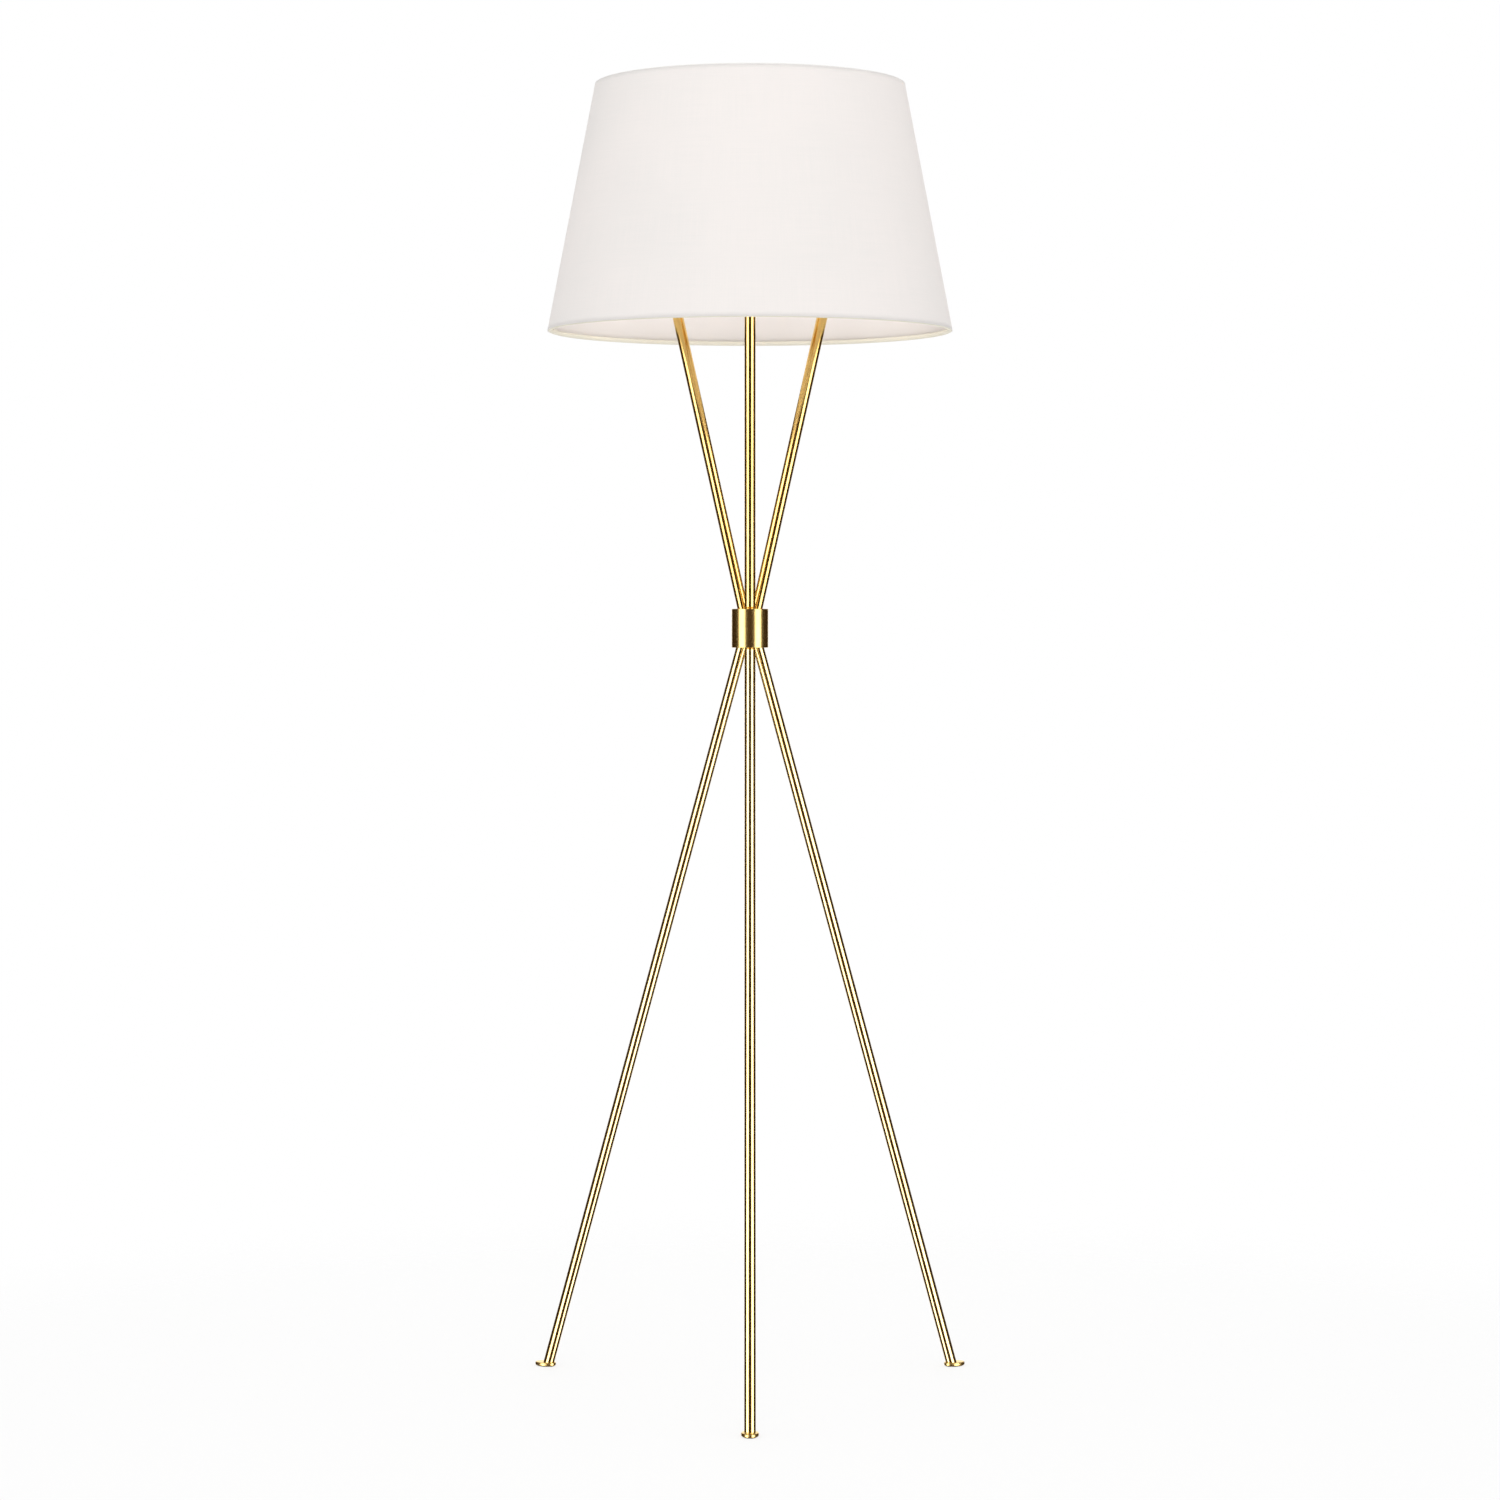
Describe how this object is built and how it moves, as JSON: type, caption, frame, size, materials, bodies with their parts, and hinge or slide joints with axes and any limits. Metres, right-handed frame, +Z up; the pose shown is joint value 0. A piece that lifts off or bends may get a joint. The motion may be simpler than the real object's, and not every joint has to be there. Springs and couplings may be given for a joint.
{
  "type": "tripod floor lamp",
  "caption": "Floor lamp with a slim brass tripod gathered by a collar, splayed upper rods and a white tapered fabric shade on a harp over a key-switch lamp holder.",
  "frame": {"origin": "on the floor, under the lamp's axis, at the middle of the three feet", "axes": "+Z up along the lamp's axis, the front leg points along -Y, +X to the right seen from the front"},
  "size_m": [0.5268, 0.5443, 1.567],
  "materials": {
    "brushed_brass": "brushed along the tube, lacquered",
    "plated_steel": "zinc plated",
    "soft_glide": "matt",
    "black_rubber": "matt",
    "lead_jacket": "satin",
    "bracket_brass": "pressed and lacquered",
    "harp_brass": "polished",
    "holder_brass": "polished",
    "fibre_card": "matt",
    "dark_phenolic": "moulded, satin",
    "contact_metal": "bright",
    "bulb_frost": "frosted",
    "bulb_white": "smooth",
    "bulb_metal": "bright",
    "shade_cloth": "fine plain weave",
    "shade_backing": "smooth, matt",
    "shade_edge": "turned edge",
    "white_wire": "white enamel"
  },
  "bodies": {
    "stand": {"hub_core": "brushed_brass", "collar": "brushed_brass", "collar_set_screw": "plated_steel", "hub_set_screws": "plated_steel", "leg_front": "brushed_brass", "leg_right": "brushed_brass", "leg_left": "brushed_brass", "upper_rod_front": "brushed_brass", "upper_rod_right": "brushed_brass", "upper_rod_left": "brushed_brass", "leg_nipples": "plated_steel", "rod_tails": "plated_steel", "foot_front": "brushed_brass", "foot_right": "brushed_brass", "foot_left": "brushed_brass", "foot_glides": "soft_glide", "cord_grommet": "black_rubber", "inner_lead": "lead_jacket", "top_bracket": "bracket_brass", "rod_end_plugs": "plated_steel", "bracket_screws": "plated_steel", "socket_nipple": "plated_steel", "lock_nut": "plated_steel", "lock_washer": "plated_steel", "harp_saddle": "harp_brass", "socket_cap": "holder_brass", "socket_shell": "holder_brass", "socket_liner": "fibre_card", "socket_body": "dark_phenolic", "screw_shell": "contact_metal", "centre_contact": "contact_metal", "terminal_screws": "contact_metal"},
    "key": {"switch_key": "dark_phenolic"},
    "bulb": {"bulb_globe": "bulb_frost", "bulb_housing": "bulb_white", "bulb_base": "bulb_metal", "bulb_contact": "bulb_metal"},
    "harp": {"harp": "harp_brass"},
    "sleeve_left": {"harp_sleeve_left": "harp_brass"},
    "sleeve_right": {"harp_sleeve_right": "harp_brass"},
    "stud": {"harp_stud": "harp_brass"},
    "shade": {"shade_fabric": "shade_cloth", "shade_liner": "shade_backing", "shade_top_hem": "shade_edge", "shade_bottom_hem": "shade_edge", "shade_top_ring": "white_wire", "shade_bottom_ring": "white_wire", "shade_spider": "white_wire"},
    "finial": {"finial": "harp_brass"}
  },
  "joints": [
    {"name": "key_turn", "type": "hinge", "parent": "stand", "child": "key", "pos_m": [0, -0.02, 1.347], "axis": [0, -1, 0], "continuous": true},
    {"name": "bulb_out", "type": "slide", "parent": "stand", "child": "bulb", "axis": [0, 0, 1], "range_m": [0, 0.03]},
    {"name": "harp_lift", "type": "slide", "parent": "stand", "child": "harp", "axis": [0, 0, 1], "range_m": [0, 0.03]},
    {"name": "sleeve_left_lift", "type": "slide", "parent": "harp", "child": "sleeve_left", "axis": [0, 0, 1], "range_m": [0, 0.016]},
    {"name": "sleeve_right_lift", "type": "slide", "parent": "harp", "child": "sleeve_right", "axis": [0, 0, 1], "range_m": [0, 0.016]},
    {"name": "shade_turn", "type": "hinge", "parent": "harp", "child": "stud", "pos_m": [0, 0, 1.53], "axis": [0, 0, 1], "continuous": true},
    {"name": "shade_lift", "type": "slide", "parent": "stud", "child": "shade", "axis": [0, 0, 1], "range_m": [0, 0.32]},
    {"name": "finial_turn", "type": "hinge", "parent": "shade", "child": "finial", "pos_m": [0, 0, 1.55], "axis": [0, 0, 1], "continuous": true}
  ]
}
